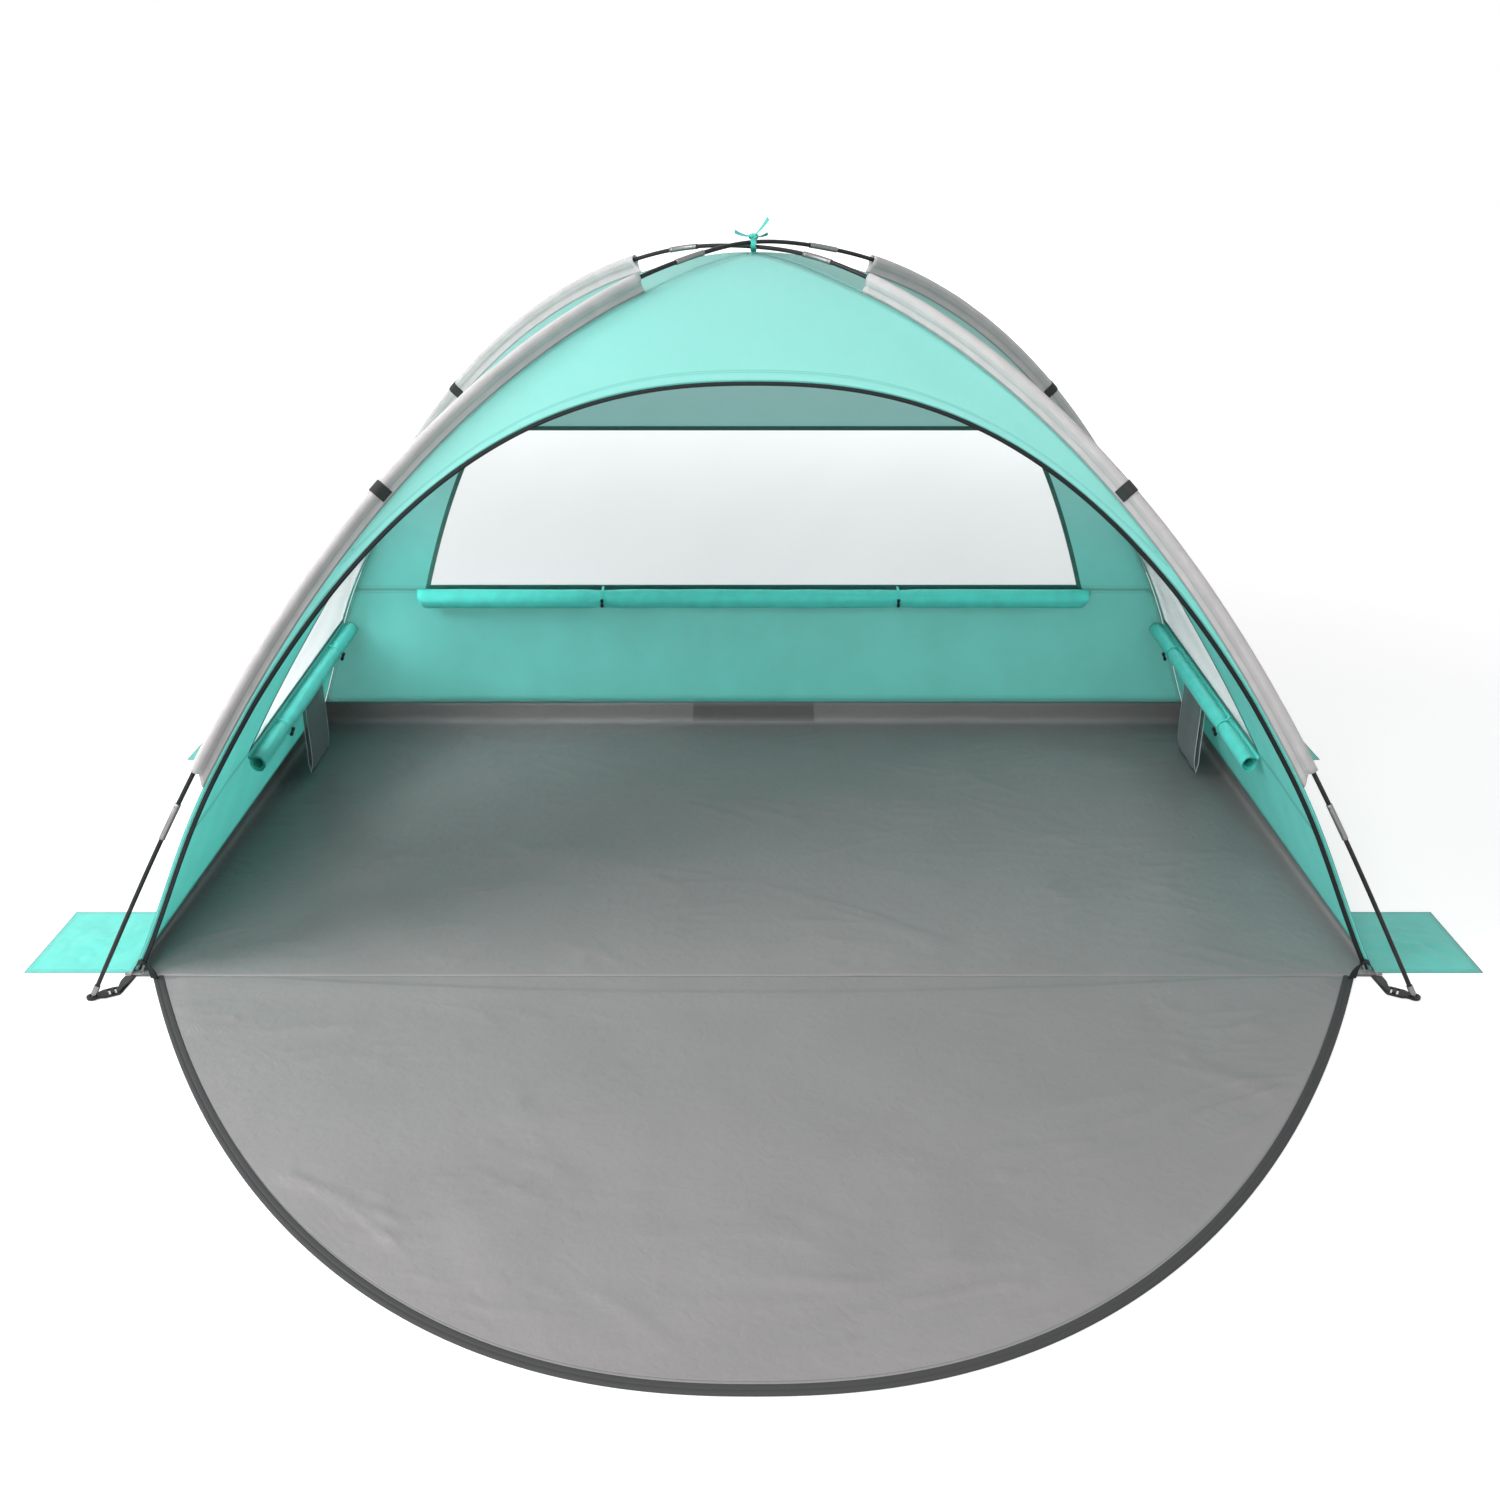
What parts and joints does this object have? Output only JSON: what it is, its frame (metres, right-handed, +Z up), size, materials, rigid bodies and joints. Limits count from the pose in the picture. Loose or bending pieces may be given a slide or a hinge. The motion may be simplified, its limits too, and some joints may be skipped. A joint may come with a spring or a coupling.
{
  "type": "beach tent",
  "caption": "Dome beach tent on crossed poles, with an arched zip doorway, a floor that runs out into a rounded door mat, rolled window flaps and sand pockets.",
  "frame": {"origin": "on the ground, under the place where the poles cross, at the middle of the floor", "axes": "+X to the right seen from the front, +Y to the back, +Z up"},
  "size_m": [2.9406, 2.6096, 1.3467],
  "materials": {
    "canopy_cloth": "fine plain weave polyester, slightly translucent",
    "sand_pocket_cloth": "fine plain weave polyester, wrinkled",
    "flap_cloth": "fine plain weave polyester",
    "floor_cloth": "coated, half matt",
    "sleeve_cloth": "matt weave",
    "zip_tape": "herringbone tape with a moulded coil",
    "black_webbing": "ribbed webbing",
    "window_film": "milky, translucent",
    "pocket_mesh": "fine mesh",
    "black_plastic": "moulded, satin",
    "pole_fibreglass": "painted fibreglass with metal ferrules",
    "bright_metal": "plated"
  },
  "bodies": {
    "tent": {"apex_tie": "canopy_cloth", "arch_zip_tape": "zip_tape", "back_first_roll_tie": "flap_cloth", "back_second_roll_tie": "flap_cloth", "back_wall": "canopy_cloth", "back_window": "window_film", "back_window_roll": "flap_cloth", "floor": "floor_cloth", "front_left_foot": "black_plastic", "front_left_pole_tip": "bright_metal", "front_left_sleeve": "sleeve_cloth", "front_left_sleeve_band": "black_webbing", "front_left_to_rear_right_rod": "pole_fibreglass", "front_left_webbing": "black_webbing", "front_right_foot": "black_plastic", "front_right_pole_tip": "bright_metal", "front_right_sleeve": "sleeve_cloth", "front_right_sleeve_band": "black_webbing", "front_right_to_rear_left_rod": "pole_fibreglass", "front_right_webbing": "black_webbing", "front_valance": "canopy_cloth", "left_first_roll_tie": "flap_cloth", "left_inner_pocket": "pocket_mesh", "left_second_roll_tie": "flap_cloth", "left_wall": "canopy_cloth", "left_window": "window_film", "left_window_roll": "flap_cloth", "rear_left_foot": "black_plastic", "rear_left_pole_tip": "bright_metal", "rear_left_sleeve": "sleeve_cloth", "rear_left_sleeve_band": "black_webbing", "rear_left_webbing": "black_webbing", "rear_right_foot": "black_plastic", "rear_right_pole_tip": "bright_metal", "rear_right_sleeve": "sleeve_cloth", "rear_right_sleeve_band": "black_webbing", "rear_right_webbing": "black_webbing", "right_first_roll_tie": "flap_cloth", "right_inner_pocket": "pocket_mesh", "right_second_roll_tie": "flap_cloth", "right_wall": "canopy_cloth", "right_window": "window_film", "right_window_roll": "flap_cloth"},
    "door_mat_flap": {"door_mat": "floor_cloth", "mat_zip_tape": "zip_tape"},
    "back_first_toggle_peg": {"back_first_toggle": "black_plastic"},
    "back_sand_pocket_flap": {"back_sand_pocket": "sand_pocket_cloth"},
    "back_second_toggle_peg": {"back_second_toggle": "black_plastic"},
    "front_left_sand_pocket_flap": {"front_left_sand_pocket": "sand_pocket_cloth"},
    "front_right_sand_pocket_flap": {"front_right_sand_pocket": "sand_pocket_cloth"},
    "left_first_toggle_peg": {"left_first_toggle": "black_plastic"},
    "left_second_toggle_peg": {"left_second_toggle": "black_plastic"},
    "rear_left_sand_pocket_flap": {"rear_left_sand_pocket": "sand_pocket_cloth"},
    "rear_right_sand_pocket_flap": {"rear_right_sand_pocket": "sand_pocket_cloth"},
    "right_first_toggle_peg": {"right_first_toggle": "black_plastic"},
    "right_second_toggle_peg": {"right_second_toggle": "black_plastic"},
    "left_slider": {"left_zip_slider": "bright_metal"},
    "left_pull": {"left_zip_pull": "bright_metal"},
    "right_slider": {"right_zip_slider": "bright_metal"},
    "right_pull": {"right_zip_pull": "bright_metal"}
  },
  "joints": [
    {"name": "door_mat_hinge", "type": "hinge", "parent": "tent", "child": "door_mat_flap", "pos_m": [0, -0.6753, 0.0015], "axis": [-1, 0, 0], "range_deg": [0, 100]},
    {"name": "back_first_toggle_swing", "type": "hinge", "parent": "tent", "child": "back_first_toggle_peg", "pos_m": [-0.39731, 0.60266, 0.37657], "axis": [-1, 0, 0], "range_deg": [0, 45]},
    {"name": "back_sand_pocket_hinge", "type": "hinge", "parent": "tent", "child": "back_sand_pocket_flap", "pos_m": [0, 0.6753, 0.002], "axis": [1, 0, 0], "range_deg": [0, 75]},
    {"name": "back_second_toggle_swing", "type": "hinge", "parent": "tent", "child": "back_second_toggle_peg", "pos_m": [0.38003, 0.60266, 0.37657], "axis": [-1, 0, 0], "range_deg": [0, 45]},
    {"name": "front_left_sand_pocket_hinge", "type": "hinge", "parent": "tent", "child": "front_left_sand_pocket_flap", "pos_m": [-1.2003, -0.5375, 0.002], "axis": [0, 1, 0], "range_deg": [0, 75]},
    {"name": "front_right_sand_pocket_hinge", "type": "hinge", "parent": "tent", "child": "front_right_sand_pocket_flap", "pos_m": [1.2003, -0.5375, 0.002], "axis": [0, -1, 0], "range_deg": [0, 75]},
    {"name": "left_first_toggle_swing", "type": "hinge", "parent": "tent", "child": "left_first_toggle_peg", "pos_m": [-1.03954, -0.02326, 0.26234], "axis": [0.0121, -0.9994, -0.0309], "range_deg": [0, 45]},
    {"name": "left_second_toggle_swing", "type": "hinge", "parent": "tent", "child": "left_second_toggle_peg", "pos_m": [-1.04505, 0.4558, 0.27896], "axis": [0.0121, -0.9994, -0.0309], "range_deg": [0, 45]},
    {"name": "rear_left_sand_pocket_hinge", "type": "hinge", "parent": "tent", "child": "rear_left_sand_pocket_flap", "pos_m": [-1.2003, 0.5375, 0.002], "axis": [0, 1, 0], "range_deg": [0, 75]},
    {"name": "rear_right_sand_pocket_hinge", "type": "hinge", "parent": "tent", "child": "rear_right_sand_pocket_flap", "pos_m": [1.2003, 0.5375, 0.002], "axis": [0, -1, 0], "range_deg": [0, 75]},
    {"name": "right_first_toggle_swing", "type": "hinge", "parent": "tent", "child": "right_first_toggle_peg", "pos_m": [1.03954, -0.02326, 0.26234], "axis": [0.0121, 0.9994, 0.0309], "range_deg": [0, 45]},
    {"name": "right_second_toggle_swing", "type": "hinge", "parent": "tent", "child": "right_second_toggle_peg", "pos_m": [1.04505, 0.4558, 0.27896], "axis": [0.0121, 0.9994, 0.0309], "range_deg": [0, 45]},
    {"name": "left_slider_travel", "type": "slide", "parent": "tent", "child": "left_slider", "axis": [0.435, 0.0291, 0.8999], "range_m": [0, 0.07]},
    {"name": "left_pull_swing", "type": "hinge", "parent": "left_slider", "child": "left_pull", "pos_m": [-1.17044, -0.67608, 0.0264], "axis": [-0.9004, 0.0141, 0.4348], "range_deg": [0, 90]},
    {"name": "right_slider_travel", "type": "slide", "parent": "tent", "child": "right_slider", "axis": [-0.435, 0.0291, 0.8999], "range_m": [0, 0.07]},
    {"name": "right_pull_swing", "type": "hinge", "parent": "right_slider", "child": "right_pull", "pos_m": [1.17044, -0.67608, 0.0264], "axis": [-0.9004, -0.0141, -0.4348], "range_deg": [0, 90]}
  ]
}
